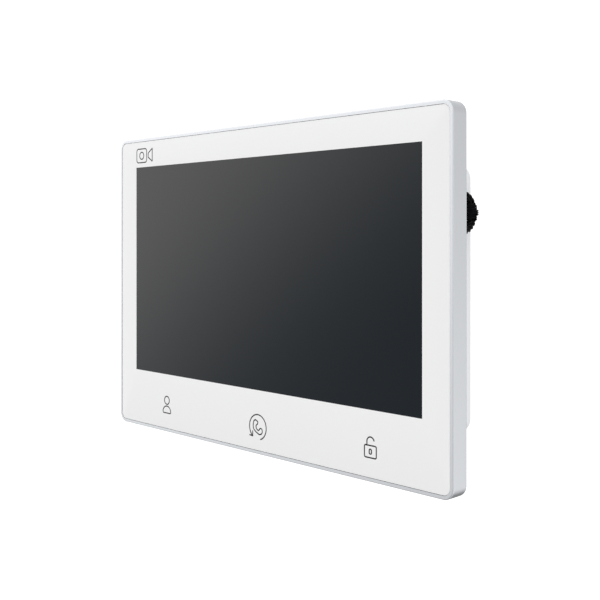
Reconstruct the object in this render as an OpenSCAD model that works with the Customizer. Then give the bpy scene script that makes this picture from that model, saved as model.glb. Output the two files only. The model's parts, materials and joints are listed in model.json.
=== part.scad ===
// Indoor video intercom monitor: a slim front frame with a glass face, a smaller rear housing
// that hangs on a steel wall bracket, and a short tied wire lead beside the housing.
// X runs to the right as seen from the front, Y runs into the wall, Z runs up.
// The wall is the plane Y = 0 and the origin is the middle of the bracket's hole pattern.

/* [Front frame] */
// Width of the front frame
frame_w = 178.6; // [170:0.2:200]
// Height of the front frame
frame_h = 122; // [116:0.5:140]
// Depth of the front frame
frame_d = 7; // [6.5:0.1:9]
// Outer corner radius of the front frame
corner_r = 4; // [3.5:0.1:6]
// Rim left showing around the glass
rim_w = 1.3; // [1:0.1:1.8]
// Thickness of the frame's side wall
wall = 2; // [1.8:0.1:2.4]

/* [Screen] */
// Visible picture width of the seven inch panel
view_w = 154.6; // [150:0.1:158]
// Visible picture height of the seven inch panel
view_h = 86.2; // [84:0.1:90]
// Height of the picture's middle above the frame's middle
view_z = 5.7; // [4:0.1:6]
// Thickness of the front glass
glass_t = 1.8; // [1.1:0.1:1.9]

/* [Rear housing] */
// Width of the rear housing
house_w = 162.6; // [158:0.2:164]
// Height of the rear housing
house_h = 87; // [84:0.5:90]
// Height of the housing's middle above the frame's middle
house_z = -0.9; // [-2:0.1:0]
// Whole depth from the front face to the housing's back
body_d = 20.7; // [20:0.1:24]
// Corner radius of the housing
house_r = 5; // [4:0.5:8]

/* [Wall bracket] */
// Width of the bracket plate
plate_w = 100; // [96:1:104]
// Height of the bracket plate
plate_h = 60; // [58:1:60]
// Sheet thickness of the bracket
plate_t = 1.2; // [1:0.1:1.2]
// Distance between the two slots that fit a square wall box
box_pitch = 60.3; // [60:0.1:60.4]
// Distance between the wall holes along X
hole_pitch_x = 90; // [88:1:90]
// Distance between the wall holes along Z
hole_pitch_z = 50; // [48:1:50]
// Radius of the wall holes
hole_r = 2.1; // [2:0.1:2.3]
// Lift that frees the monitor from the hooks
lift = 8; // [7:0.5:8]

/* [Wire lead] */
// Diameter of the twisted lead
lead_d = 1.2; // [1:0.1:1.4]
// Outer radius of the coil's round back
coil_r = 6.4; // [6:0.1:7]
// Width of the coil along X
coil_w = 3.6; // [3:0.1:4]

/* [Hidden] */
$fn = 48;

eps = 0.01;
back_gap = 0.5;                       // housing back to the wall
front_y = -(body_d + back_gap);       // plane of the rim's front
back_y = -back_gap;                   // plane of the housing's back
recess_y = -plate_t - 0.3;            // floor of the bracket recess
inner_y = back_y - 3;                 // inside of the housing's back wall
pocket_y = inner_y - 1.6;             // inside of the bumps over the wall screws

// depths behind the front plane
glass_f = 0.1;
glass_b = glass_f + glass_t;
icon_t = 0.06;
mask_b = glass_b + 0.16;
ledge_f = 2.2;
ledge_b = 3.2;
tray_f = 2.3;
panel_b = 3.4;
tray_b = 5.4;
flange_f = 5.5;
flange_b = 6.8;

cell_w = 161.6;
cell_h = 95.6;
tray_w = 164.9;
tray_h = 100;
flange_w = frame_w - 2 * wall - 0.4;
flange_h = frame_h - 2 * wall - 0.4;
glass_w = frame_w - 2 * rim_w - 0.2;
glass_h = frame_h - 2 * rim_w - 0.2;
house_wall = 2.2;
house_top = house_z + house_h / 2;
house_low = house_z - house_h / 2;
low_wall = house_low + house_wall;

// main board
board_t = 1.6;
board_y = -9.4;                       // back face of the board
board_f = board_y - board_t;          // front face of the board
board_x = [-48, 74];
board_z = [-40, 36];
post_at = [[-44, -34], [-44, 32], [70, -34], [70, 32]];
post_r = 3;

// bracket
hook_x = 38;
hook_z = [-18, 22];
hook_h = 3;
lip_h = 5;
hook_gap = 0.1;
window_w = 44;
window_h = 40;
slot_len = 10;
bay_w = 42;
bay_z = [-3, 19];
case_at = [for (x = [-84.9, 84.9], z = [-50, 0, 50]) [x, z]];

// small moving parts along the housing's bottom wall
card_x = 30;
card_y = -12;
card_w = 11;
card_l = 15;
card_t = 0.8;
card_out = 0.8;
lever_x = 50;
lever_y = -12.8;
lever_travel = 2;
button_x = 64;
button_y = -13;
button_r = 1.6;

// speaker, seen from the back
speaker_x = -64;
speaker_z = -20;
speaker_r = 12.5;

// lead
lead_x = 85;
lead_y = -11.6;
grommet_z = 35.2;
grommet_r = 2.4;
grommet_waist = 1.8;
coil_y = front_y + 10.1;
coil_z = 27;
coil_band = 2.4;
front_r = 3;
tie_h = 5.2;
// route of the lead's free stretch, from the grommet down to the coil
lead_route = [
    [82.7, -11.6, 35.2], [83.5, -11.65, 35.15], [84.4, -11.8, 34.9], [85.2, -12.1, 34.4],
    [85.8, -12.5, 33.7], [86.1, -12.9, 32.8], [86.2, -13.3, 31.8], [86.2, -13.5, 30.4]
];
// route of the lead's far stretch, from the coil down to its plug
plug_route = [
    [83.8, -13.5, 23.6], [83.8, -13.5, 22.4], [83.9, -13.4, 21.2], [84, -13.2, 20],
    [84.2, -13, 18.8], [84.4, -12.8, 17.6], [84.5, -12.7, 16.4], [84.5, -12.6, 15.2],
    [84.5, -12.6, 14]
];
plug_size = [3.6, 2.6, 6];

// a plate from depth d0 to d1 behind the front plane, drawn as seen from the front
module layer(d0, d1) {
    translate([0, front_y + d1, 0]) rotate([90, 0, 0]) linear_extrude(d1 - d0) children();
}

// a plate between two Y planes
module slab(y0, y1) {
    translate([0, y1, 0]) rotate([90, 0, 0]) linear_extrude(y1 - y0) children();
}

// a box from its low corner to its high corner
module span(low, high) {
    translate(low) cube([high[0] - low[0], high[1] - low[1], high[2] - low[2]]);
}

// a rounded rectangle about the origin
module rounded(w, h, r) {
    square([w - 2 * r, h], center = true);
    square([w, h - 2 * r], center = true);
    for (x = [-1, 1], z = [-1, 1]) translate([x * (w / 2 - r), z * (h / 2 - r)]) circle(r);
}

// a turned piece about an axis along Y, whose profile's height runs towards the wall
module turned(x, y, z) {
    translate([x, y, z]) rotate([-90, 0, 0]) rotate_extrude() children();
}

// a rod along Y from y0 to y1
module rod_y(r, x, z, y0, y1) {
    translate([x, y0, z]) rotate([-90, 0, 0]) cylinder(r = r, h = y1 - y0);
}

// a profile carried round a rounded rectangle: x is measured from the corner's centre outwards,
// y is the height towards the viewer
module around(w, h, r) {
    for (q = [0 : 3]) {
        sx = (q == 0 || q == 3) ? 1 : -1;
        sz = q < 2 ? 1 : -1;
        side = q % 2 == 0 ? w / 2 - r : h / 2 - r;
        run = q % 2 == 0 ? h - 2 * r : w - 2 * r;
        translate([sx * (w / 2 - r), sz * (h / 2 - r), 0])
            rotate([0, 0, q * 90]) rotate_extrude(angle = 90) children();
        rotate([0, 0, q * 90]) translate([side, run / 2, 0])
            rotate([90, 0, 0]) linear_extrude(run) children();
    }
}

// ---- wall bracket ----

// one hook: a tab bent forwards with a lip that points up, its neck's top at z
module hook(x, z) {
    lip_y = inner_y - 0.3;
    translate([x, 0, 0]) {
        span([0, lip_y - 1.6, z - hook_h], [plate_t, -plate_t / 2, z]);
        span([0, lip_y - 1.6, z - hook_h], [plate_t, lip_y, z + lip_h]);
    }
}

module wall_bracket() color([0.72, 0.73, 0.75]) {
    difference() {
        slab(-plate_t, 0) rounded(plate_w, plate_h, 4);
        slab(-plate_t - 1, 1) rounded(window_w, window_h, 3);
        for (x = [-1, 1], z = [-1, 1])
            rod_y(hole_r, x * hole_pitch_x / 2, z * hole_pitch_z / 2, -plate_t - 1, 1);
        for (x = [-1, 1]) translate([x * box_pitch / 2, 0, 0]) slab(-plate_t - 1, 1) {
            square([slot_len - 2 * hole_r, 2 * hole_r], center = true);
            for (s = [-1, 1]) translate([s * (slot_len / 2 - hole_r), 0]) circle(hole_r);
        }
        for (s = [-1, 1], z = hook_z)
            span([s < 0 ? -hook_x : hook_x - 3.4, -plate_t - 1, z - hook_h],
                [s < 0 ? 3.4 - hook_x : hook_x, 1, z + lip_h]);
    }
    for (x = [-hook_x - plate_t, hook_x], z = hook_z) hook(x, z);
}

// ---- front frame and what it holds ----

// opening in the frame's ledge
opening_w = 169.4;
opening_h = 112.8;
boss_r = 1.95;                        // bosses for the case screws
pilot_r = 0.8;
port_r = 0.6;                         // microphone port

// section of the frame's side, with rounded front and back outer edges
module bezel_section() {
    front_fillet = 0.4;
    back_fillet = 0.5;
    translate([corner_r - rim_w, -ledge_f]) square([rim_w - front_fillet, ledge_f]);
    translate([corner_r - rim_w, -ledge_f]) square([rim_w, ledge_f - front_fillet]);
    translate([corner_r - front_fillet, -front_fillet]) circle(front_fillet);
    translate([corner_r - wall, -frame_d]) square([wall - back_fillet, frame_d - ledge_f + eps]);
    translate([corner_r - wall, back_fillet - frame_d])
        square([wall, frame_d - ledge_f - back_fillet + eps]);
    translate([corner_r - back_fillet, back_fillet - frame_d]) circle(back_fillet);
}

mic_x = -76;
mic_d = 4.3;

module front_bezel() color([0.93, 0.94, 0.95]) difference() {
    union() {
        translate([0, front_y, 0]) rotate([90, 0, 0]) around(frame_w, frame_h, corner_r) bezel_section();
        layer(ledge_f, ledge_b) difference() {
            rounded(frame_w - 2 * wall + 0.4, frame_h - 2 * wall + 0.4, corner_r - wall);
            square([opening_w, opening_h], center = true);
        }
        for (p = case_at) {
            wall_x = sign(p[0]) * (frame_w - wall) / 2;
            rod_y(boss_r, p[0], p[1], front_y + ledge_f, front_y + flange_f);
            span([min(p[0], wall_x), front_y + ledge_f, p[1] - boss_r],
                [max(p[0], wall_x), front_y + flange_f, p[1] + boss_r]);
        }
    }
    for (p = case_at) rod_y(pilot_r, p[0], p[1], front_y + ledge_b, front_y + flange_f + 1);
    translate([mic_x, front_y + mic_d, -frame_h / 2 - 1]) cylinder(r = port_r, h = wall + 2);
}

module front_glass() color([0.95, 0.95, 0.95, 0.6])
    layer(glass_f, glass_b) rounded(glass_w, glass_h, corner_r - rim_w - 0.1);

module border_mask() color([0.95, 0.95, 0.95]) layer(glass_b + icon_t, mask_b) difference() {
    rounded(glass_w, glass_h, corner_r - rim_w - 0.1);
    translate([0, view_z]) square([view_w, view_h], center = true);
}

module glass_tape() color([0.15, 0.15, 0.15]) layer(mask_b, ledge_f) difference() {
    rounded(frame_w - 2 * wall - 0.2, frame_h - 2 * wall - 0.2, corner_r - wall - 0.1);
    square([opening_w + 0.6, opening_h + 0.6], center = true);
}

key_x = 56;
key_z = -50;
line = 0.42;                          // width of every printed line

// a straight printed line with round ends
module stroke(a, b) {
    translate(a) circle(line / 2);
    translate(b) circle(line / 2);
    translate((a + b) / 2) rotate(atan2(b[1] - a[1], b[0] - a[0]))
        square([norm(b - a), line], center = true);
}

// a printed circle
module ring_line(r) difference() {
    circle(r + line / 2);
    circle(r - line / 2);
}

// a printed rounded rectangle
module frame_line(w, h, r) difference() {
    rounded(w + line, h + line, r + line / 2);
    rounded(w - line, h - line, r - line / 2);
}

// the plane between two directions from the origin, out to radius r
module sector(a0, a1, r) {
    middle = (a0 + a1) / 2;
    polygon([[0, 0], for (a = [a0, middle, a1]) r * [cos(a), sin(a)]]);
}

// outline of a person: a round head over closed shoulders
module person_icon() {
    shoulder_r = 2.8;
    foot_z = -3.5;
    foot_h = 0.2;
    translate([0, 1.8]) ring_line(1.7);
    difference() {
        translate([0, foot_z + foot_h]) ring_line(shoulder_r);
        translate([0, foot_z + foot_h - shoulder_r]) square([8, 2 * shoulder_r], center = true);
    }
    for (s = [-1, 1]) stroke([s * shoulder_r, foot_z], [s * shoulder_r, foot_z + foot_h]);
    stroke([-shoulder_r, foot_z], [shoulder_r, foot_z]);
}

// outline of a handset inside an open ring that ends in an arrow
module call_icon() {
    ring_r = 4.9;
    tip = ring_r * [cos(232), sin(232)];
    handset = [
        [-1.4, 2.8], [-2.5, 1.9], [-2.5, -0.9], [0.4, -2.7], [1.8, -2.6], [2.6, -1.8], [2.5, -0.7],
        [1.5, -0.3], [0.3, -1.3], [-0.9, -0.5], [-0.95, 0.6], [-0.2, 1.2], [-0.05, 2.1]
    ];
    difference() {
        ring_line(ring_r);
        sector(232, 290, 2 * ring_r);
    }
    stroke(tip, tip + [0, 1.9]);
    stroke(tip, tip + [-1.8, 0.1]);
    for (i = [0 : len(handset) - 1]) stroke(handset[i], handset[(i + 1) % len(handset)]);
}

// outline of an open padlock with a keyhole
module lock_icon() {
    body = [5.4, 4.2];
    body_z = -1.55;
    shackle_r = 1.67;
    shackle_x = -0.2;
    foot = [shackle_x - shackle_r, body_z + body[1] / 2];
    rise = 1.45;
    translate([0, body_z]) frame_line(body[0], body[1], 0.7);
    translate([0, body_z]) frame_line(1.1, 1.75, 0.5);
    stroke(foot, foot + [0, rise]);
    translate(foot + [shackle_r, rise]) difference() {
        ring_line(shackle_r);
        rotate(180) sector(0, 100, 3 * shackle_r);
        rotate(180) sector(100, 200, 3 * shackle_r);
    }
}

// outline of a camera and its view, a plain mark in the top left corner
module camera_icon() {
    view = [[2.5, 0.9], [5.4, 2.7], [5.4, -2.7], [2.5, -0.9]];
    translate([-2.2, 0]) frame_line(7.2, 5.8, 1.2);
    translate([-2.2, 0]) ring_line(1.5);
    for (i = [0 : 3]) stroke(view[i], view[(i + 1) % 4]);
}

module key_icons() color([0.3, 0.31, 0.33]) layer(glass_b, glass_b + icon_t) {
    translate([0.5 - key_x, key_z + 0.3]) person_icon();
    translate([0.5, key_z - 1]) call_icon();
    translate([key_x + 0.3, key_z + 0.2]) lock_icon();
    translate([-71.2, 53.7]) camera_icon();
}

// ---- picture panel ----

module lcd_panel() color([0.12, 0.13, 0.15])
    layer(mask_b, panel_b) translate([0, view_z]) square([cell_w, cell_h], center = true);

module lcd_tray() color([0.7, 0.7, 0.72]) difference() {
    layer(tray_f, tray_b) translate([0, view_z]) square([tray_w, tray_h], center = true);
    layer(tray_f - 1, panel_b) translate([0, view_z]) square([cell_w + 0.4, cell_h + 0.4], center = true);
}

flex_t = 0.25;
flex_gap = 1.2;                       // where a film stops in front of the main board

// a flat strip of width w from the tray's back to a board face at y
module ribbon(x, w, z0, z1, y) {
    tray_y = front_y + tray_b;
    span([x - w / 2, tray_y, z0], [x + w / 2, tray_y + flex_t, z1]);
    span([x - w / 2, tray_y, z1 - flex_t], [x + w / 2, y, z1]);
}

module lcd_flex() color([0.75, 0.45, 0.15]) ribbon(-8, 26, -34, -28, board_f - flex_gap);

// ---- touch keys ----

touch_f = 4.4;
touch_w = 136;
touch_h = 12;
touch_z = -52.1;
pad_z = key_z - 0.6;
pad_r = 4.2;

module touch_board() color([0.1, 0.35, 0.2]) layer(touch_f, touch_f + 1) difference() {
    translate([0, touch_z]) square([touch_w, touch_h], center = true);
    for (x = [-1, 1]) translate([x * (touch_w / 2 - 4), touch_z]) circle(1.1);
}

module touch_pads() color([0.25, 0.25, 0.27]) for (x = [-key_x, 0, key_x])
    translate([x, 0, pad_z]) layer(mask_b, touch_f) difference() {
        circle(pad_r);
        circle(1.6);
    }

module key_lights() color([0.95, 0.95, 0.8]) for (x = [-key_x, 0, key_x])
    translate([x, 0, pad_z]) layer(touch_f - 0.8, touch_f) square([2, 1.2], center = true);

module touch_flex() color([0.75, 0.45, 0.15]) {
    y0 = front_y + touch_f + 1;
    low_x = 8;
    high_x = 16;
    top_z = -39.4;
    span([low_x, y0, key_z], [high_x, y0 + 0.08, top_z]);
    span([low_x, y0, top_z - 0.1], [high_x, board_f - flex_gap, top_z]);
}

mic_z = -57;
mic_h = 3;

module microphone() color([0.75, 0.7, 0.5])
    span([mic_x - 1.9, front_y + mic_d - 1, mic_z], [mic_x + 1.9, front_y + mic_d + 0.5, mic_z + mic_h]);

module mic_boot() color([0.1, 0.1, 0.1]) difference() {
    span([mic_x - 2.4, front_y + mic_d - 1, wall - frame_h / 2], [mic_x + 2.4, front_y + mic_d + 1, mic_z]);
    translate([mic_x, front_y + mic_d, -frame_h / 2]) cylinder(r = port_r, h = 6);
}

// ---- main board ----

processor_x = 8;
processor_z = 6;
sink_w = 22;
fin_pitch = 2.6;
cell_x = -32;                         // clock battery
cell_z = 16;
cell_r = 6.25;
cell_gap = 0.6;                       // battery's seat in front of the board
socket_z = 8;                         // door station sockets
socket_pitch = 14;
terminal_x = [-9, 1.2];               // two way power terminal
terminal_z = [-2.6, 5];
way_x = [-6.4, -1.4];
way_z = 1.6;

module main_board() color([0.05, 0.35, 0.18]) difference() {
    span([board_x[0], board_f, board_z[0]], [board_x[1], board_y, board_z[1]]);
    for (p = post_at) rod_y(1.4, p[0], p[1], board_f - 1, board_y + 1);
}

// a chip of size w by h on the board's front face, standing t high
module chip(x, z, w, h, t) {
    span([x - w / 2, board_f - t, z - h / 2], [x + w / 2, board_f, z + h / 2]);
}

processor_t = 1.4;

module processor() color([0.12, 0.12, 0.13]) chip(processor_x, processor_z, 17, 17, processor_t);

module heat_sink() color([0.8, 0.8, 0.82]) translate([0, -processor_t, 0]) {
    chip(processor_x, processor_z, sink_w, sink_w, 0.9);
    for (k = [-4 : 4]) chip(processor_x + k * fin_pitch, processor_z, 0.9, sink_w, 2.4);
}

module memory_chips() color([0.14, 0.14, 0.15]) for (z = [-8, 10]) chip(34, z, 12, 10, 1.2);

module radio_shield() color([0.78, 0.79, 0.8]) chip(58, 22, 18, 14, 2.2);

module capacitors() color([0.7, 0.72, 0.75]) for (x = [-40, -32, -24])
    rod_y(3.1, x, -24, board_f - 3.9, board_f);

module inductors() color([0.3, 0.3, 0.32]) for (x = [-38, -28]) chip(x, -12, 7, 7, 3);

module battery_holder() color([0.15, 0.15, 0.16]) difference() {
    chip(cell_x, cell_z, 16, 14.5, 3.2);
    rod_y(cell_r + 0.1, cell_x, cell_z, board_f - 4, board_f - cell_gap);
}

module clock_battery() color([0.8, 0.8, 0.8])
    rod_y(cell_r, cell_x, cell_z, board_f - cell_gap - 2.5, board_f - cell_gap);

socket_at = [for (k = [-1 : 1]) k * socket_pitch];

module station_sockets() color([0.95, 0.94, 0.9]) for (x = socket_at) difference() {
    shell = 0.6;
    span([x - 5, board_y, socket_z], [x + 5, board_y + 5, socket_z + 4.6]);
    span([x - 4.2, board_y + 1.2, socket_z + shell], [x + 4.2, board_y + 6, socket_z + 4.6 - shell]);
}

module socket_pins() color([0.85, 0.75, 0.4]) for (x = socket_at, k = [-1.5 : 1.5]) {
    pin = 0.5;
    pin_x = x + 2 * k - pin / 2;
    span([pin_x, board_y + 1.2, socket_z + 2], [pin_x + pin, board_y + 4.2, socket_z + 2 + pin]);
}

module power_terminal() color([0.1, 0.45, 0.25]) difference() {
    span([terminal_x[0], board_y, terminal_z[0]], [terminal_x[1], board_y + 4.8, terminal_z[1]]);
    for (x = way_x) {
        rod_y(1.5, x, way_z, board_y + 3, board_y + 6);
        span([x - 1.3, board_y + 1, terminal_z[0] - 1], [x + 1.3, board_y + 3.4, terminal_z[0] + 1.6]);
    }
}

module terminal_screws() color([0.75, 0.75, 0.77]) for (x = way_x) difference() {
    rod_y(1.4, x, way_z, board_y + 3, board_y + 4.5);
    span([x - 2, board_y + 4, way_z - 0.2], [x + 2, board_y + 5, way_z + 0.2]);
}

// ---- memory card, power switch and reset button ----

card_low = house_low - card_out;

module card_socket() color([0.8, 0.81, 0.82]) difference() {
    span([card_x - 7, board_f - 1.7, low_wall + 0.3], [card_x + 7, board_f, low_wall + 15.5]);
    span([card_x - card_w / 2 - 0.2, card_y - card_t / 2 - 0.15, low_wall - 1],
        [card_x + card_w / 2 + 0.2, card_y + card_t / 2 + 0.15, card_low + card_l + 0.4]);
}

module memory_card() color([0.12, 0.12, 0.13]) {
    span([card_x - card_w / 2, card_y - card_t / 2, card_low],
        [card_x + card_w / 2 - 1.2, card_y + card_t / 2, card_low + card_l]);
    span([card_x + card_w / 2 - 1.2, card_y - card_t / 2, card_low],
        [card_x + card_w / 2, card_y + card_t / 2, card_low + card_l - 4]);
}

module switch_body() color([0.75, 0.76, 0.78]) difference() {
    span([lever_x - 4.5, board_f - 3.6, low_wall + 0.3], [lever_x + 4.5, board_f, low_wall + 4.3]);
    span([lever_x - 2.6, lever_y - 0.9, low_wall - 1], [lever_x + 2.6, lever_y + 0.9, low_wall + 2.6]);
}

module switch_lever() color([0.1, 0.1, 0.1]) {
    x = lever_x - lever_travel / 2;
    span([x - 1, lever_y - 0.6, house_low - 1.6], [x + 1, lever_y + 0.6, low_wall + 2.3]);
}

module reset_switch() color([0.2, 0.2, 0.2]) difference() {
    span([button_x - 3, board_f - 4.2, low_wall + 0.9], [button_x + 3, board_f, low_wall + 5]);
    translate([button_x, button_y, low_wall]) cylinder(r = 1.1, h = 3.4);
}

module reset_button() color([0.75, 0.75, 0.76]) translate([button_x, button_y, house_low - 1]) {
    cylinder(r = button_r, h = house_wall + 1.2);
    cylinder(r = 0.8, h = house_wall + 3.4);
}

// ---- speaker, facing the back ----

module speaker_gasket() color([0.12, 0.12, 0.12]) turned(speaker_x, inner_y - 0.8, speaker_z)
    translate([speaker_r - 2, 0]) square([2, 0.8]);

module speaker_basket() color([0.35, 0.36, 0.38]) turned(speaker_x, inner_y - 5.6, speaker_z) {
    translate([speaker_r - 2.4, 4.2]) square([2.4, 0.6]);
    translate([speaker_r - 2.4, 0]) square([0.6, 4.2 + eps]);
    translate([5, 0]) square([speaker_r - 7.2, 0.6]);
}

module speaker_cone() color([0.2, 0.2, 0.2]) turned(speaker_x, inner_y - 0.8, speaker_z)
    polygon([[0, -1.6], [4.5, -2.2], [speaker_r - 2.7, -0.4], [speaker_r - 2.7, -0.7], [4.5, -2.6], [0, -2]]);

module speaker_magnet() color([0.3, 0.3, 0.32]) {
    rod_y(6.5, speaker_x, speaker_z, inner_y - 8.6, inner_y - 5.6);
    rod_y(4.2, speaker_x, speaker_z, inner_y - 5.6, inner_y - 4.4);
}

// ---- screws ----

// a pan head screw along Y: head from y to y + head, shank running on by len in direction s
module screw(x, z, y, s, head_r, head, shank_r, len) {
    low = s > 0 ? y - head : y;
    difference() {
        union() {
            rod_y(head_r, x, z, low, low + head);
            rod_y(shank_r, x, z, s > 0 ? y : y - len, s > 0 ? y + len : y);
        }
        for (a = [0, 90]) translate([x, s > 0 ? y - head : y + head, z]) rotate([0, a, 0])
            cube([head_r * 1.1, head, 0.5], center = true);
    }
}

module board_screws() color([0.7, 0.7, 0.72]) for (p = post_at)
    screw(p[0], p[1], board_f, 1, 2.4, 1.5, 1.2, 6);

module case_screws() color([0.7, 0.7, 0.72]) for (p = case_at)
    screw(p[0], p[1], front_y + flange_b, -1, 1.8, 1.1, 0.78, 3.2);

// ---- rear cover ----

wall_screw_at = [
    for (x = [-1, 1]) [x * box_pitch / 2, 0, 6.6],
    for (x = [-1, 1], z = [-1, 1]) [x * hole_pitch_x / 2, z * hole_pitch_z / 2, 4.6]
];

grille_r = 10;
grille_pitch = 3;
vent_x = [58, 74];                    // cooling slots in the back wall
vent_y = [-12.5, -5.5];               // and in the top wall
side_vent_pitch = 4;
top_vent_pitch = 6;
pad_at = [[-72, 30], [66, 34], [-72, -36], [66, -36]];

// section of the housing's side wall, from the flange back to a rounded rear edge
module house_section() {
    edge = 1;
    translate([house_r - house_wall, -body_d]) square([house_wall - edge, body_d - flange_f]);
    translate([house_r - house_wall, edge - body_d]) square([house_wall, body_d - flange_f - edge]);
    translate([house_r - edge, edge - body_d]) circle(edge);
}

// the room that a wall screw's head needs as the cover is lifted
module screw_room(p, y0, y1, extra) {
    high = min(p[1] + 5 + extra, plate_h / 2 + 0.4 + extra);
    low = max(p[1] - 5 - lift - extra, -plate_h / 2 - lift - 0.4 - extra);
    span([p[0] - p[2] - extra, y0, low], [p[0] + p[2] + extra, y1, high]);
}

module rear_cover() color([0.92, 0.93, 0.94]) difference() {
    union() {
        translate([0, front_y, house_z]) rotate([90, 0, 0]) around(house_w, house_h, house_r)
            house_section();
        translate([0, 0, house_z]) slab(inner_y, back_y)
            rounded(house_w - 2 * house_wall + 0.6, house_h - 2 * house_wall + 0.6, 3);
        layer(flange_f, flange_b) difference() {
            rounded(flange_w, flange_h, corner_r - wall - 0.2);
            translate([0, house_z]) rounded(house_w - 2 * house_wall, house_h - 2 * house_wall, 2.8);
        }
        for (p = post_at) rod_y(post_r, p[0], p[1], board_y, inner_y + 0.5);
        for (p = wall_screw_at) screw_room(p, pocket_y, inner_y + 0.5, 1);
    }
    translate([0, 0, -lift / 2]) slab(recess_y, 1) rounded(plate_w + 1, plate_h + lift + 1, 4.5);
    for (p = wall_screw_at) screw_room(p, inner_y, 1, 0);
    for (x = [-hook_x - plate_t - 0.5, hook_x - 0.5], z = hook_z)
        span([x, inner_y - 3, z + hook_gap - hook_h - lip_h - 3.4],
            [x + plate_t + 1, 1, z + hook_gap]);
    span([-bay_w / 2, inner_y - 3, bay_z[0]], [bay_w / 2, 1, bay_z[1]]);
    for (p = post_at) rod_y(1, p[0], p[1], board_y - 1, inner_y - 0.6);
    for (p = case_at) rod_y(0.95, p[0], p[1], front_y, front_y + flange_b + 1);
    // speaker grille: slots cut by a round field
    intersection() {
        for (k = [-3 : 3]) span([speaker_x + grille_pitch * k - 0.7, inner_y - 1, speaker_z - grille_r],
            [speaker_x + grille_pitch * k + 0.7, 1, speaker_z + grille_r]);
        rod_y(grille_r, speaker_x, speaker_z, inner_y - 1, 1);
    }
    // cooling slots right of the bracket and in the top wall
    for (k = [-5 : 5]) span([vent_x[0], inner_y - 1, side_vent_pitch * k - 0.8],
        [vent_x[1], 1, side_vent_pitch * k + 0.8]);
    for (k = [-9 : 9]) span([top_vent_pitch * k - 1.8, vent_y[0], house_top - 4],
        [top_vent_pitch * k + 1.8, vent_y[1], house_top + 1]);
    // card slot with a finger notch, lever slot and button hole in the bottom wall
    span([card_x - card_w / 2 - 0.5, card_y - 0.75, house_low - 1],
        [card_x + card_w / 2 + 0.5, card_y + 0.75, low_wall + 1]);
    span([card_x - 3, card_y - 1.6, house_low - 1], [card_x + 3, card_y + 1.6, house_low + 0.9]);
    span([lever_x - 2.6, lever_y - 1, house_low - 1], [lever_x + 2.6, lever_y + 1, low_wall + 1]);
    translate([button_x, button_y, house_low - 1]) cylinder(r = button_r + 0.3, h = house_wall + 2);
    // hole for the lead's grommet in the right wall
    translate([house_w / 2 - house_wall - 1, lead_y, grommet_z]) rotate([0, 90, 0])
        cylinder(r = grommet_waist, h = house_wall + 2);
}

module rubber_pads() color([0.15, 0.15, 0.16])
    for (p = pad_at) rod_y(3.5, p[0], p[1], back_y, 0);

module rating_label() color([0.85, 0.86, 0.87]) slab(back_y, back_y + 0.1)
    translate([-65.5, 12]) rounded(20, 26, 1.5);

// ---- wire lead ----

module lead_grommet() color([0.08, 0.08, 0.08]) translate([house_w / 2, lead_y, grommet_z])
    rotate([0, 90, 0]) {
        flange = 0.8;
        cylinder(r = grommet_r, h = 1.4);
        translate([0, 0, -house_wall - flange]) cylinder(r = grommet_waist, h = house_wall + 2 * flange);
        translate([0, 0, -house_wall - flange]) cylinder(r = grommet_r, h = flange);
    }

function unit(v) = v / norm(v);

// direction of the route at its point i
function along(route, i) =
    unit(route[min(i + 1, len(route) - 1)] - route[max(i - 1, 0)]);

// one ring of the swept lead, square to the route
function ring(route, i, r, sides) =
    let (t = along(route, i), u = unit(cross(t, [0.3, 1, 0.2])), v = cross(t, u))
    [for (k = [0 : sides - 1]) route[i] + r * (cos(360 * k / sides) * u + sin(360 * k / sides) * v)];

module swept(route, r, sides = 8) {
    n = len(route);
    points = [for (i = [0 : n - 1]) each ring(route, i, r, sides)];
    walls = [
        for (i = [0 : n - 2], k = [0 : sides - 1])
            let (a = i * sides + k, b = i * sides + (k + 1) % sides) [a, a + sides, b + sides, b]
    ];
    first = [for (k = [0 : sides - 1]) k];
    last = [for (k = [sides - 1 : -1 : 0]) (n - 1) * sides + k];
    polyhedron(points, concat(walls, [first, last]));
}

module lead_wire() color([0.05, 0.05, 0.05]) {
    swept(lead_route, lead_d / 2);
    swept(plug_route, lead_d / 2);
}

// outline of the coil: round towards the wall, flat with round corners towards the frame
module coil_outline(inset) {
    r = coil_r - inset;
    f = front_r - inset;
    intersection() {
        circle(r);
        translate([0, -r]) square([r, 2 * r]);
    }
    translate([inset - front_r, f - r]) square([front_r - inset + eps, 2 * (r - f)]);
    intersection() {
        translate([inset - front_r, -r]) square([front_r - inset + eps, 2 * r]);
        for (s = [-1, 1]) translate([0, s * (r - f)]) circle(f);
    }
}

// an outline drawn with x towards the wall and y up, extruded along X
module across(x, w) {
    translate([x - w / 2, coil_y, coil_z]) rotate([90, 0, 90]) linear_extrude(w) children();
}

module lead_coil() color([0.06, 0.06, 0.06]) across(lead_x, coil_w) difference() {
    coil_outline(0);
    coil_outline(coil_band);
}

module lead_tie() color([0.04, 0.04, 0.04]) difference() {
    across(lead_x, coil_w + 1) translate([0.4, -tie_h / 2]) square([coil_r + 0.2, tie_h]);
    across(lead_x, coil_w) coil_outline(0);
}

module lead_plug() color([0.08, 0.08, 0.08]) {
    top = plug_route[len(plug_route) - 1];
    span([top[0] - plug_size[0] / 2, top[1] - plug_size[1] / 2, top[2] - plug_size[2]],
        [top[0] + plug_size[0] / 2, top[1] + plug_size[1] / 2, top[2]]);
}

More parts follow.
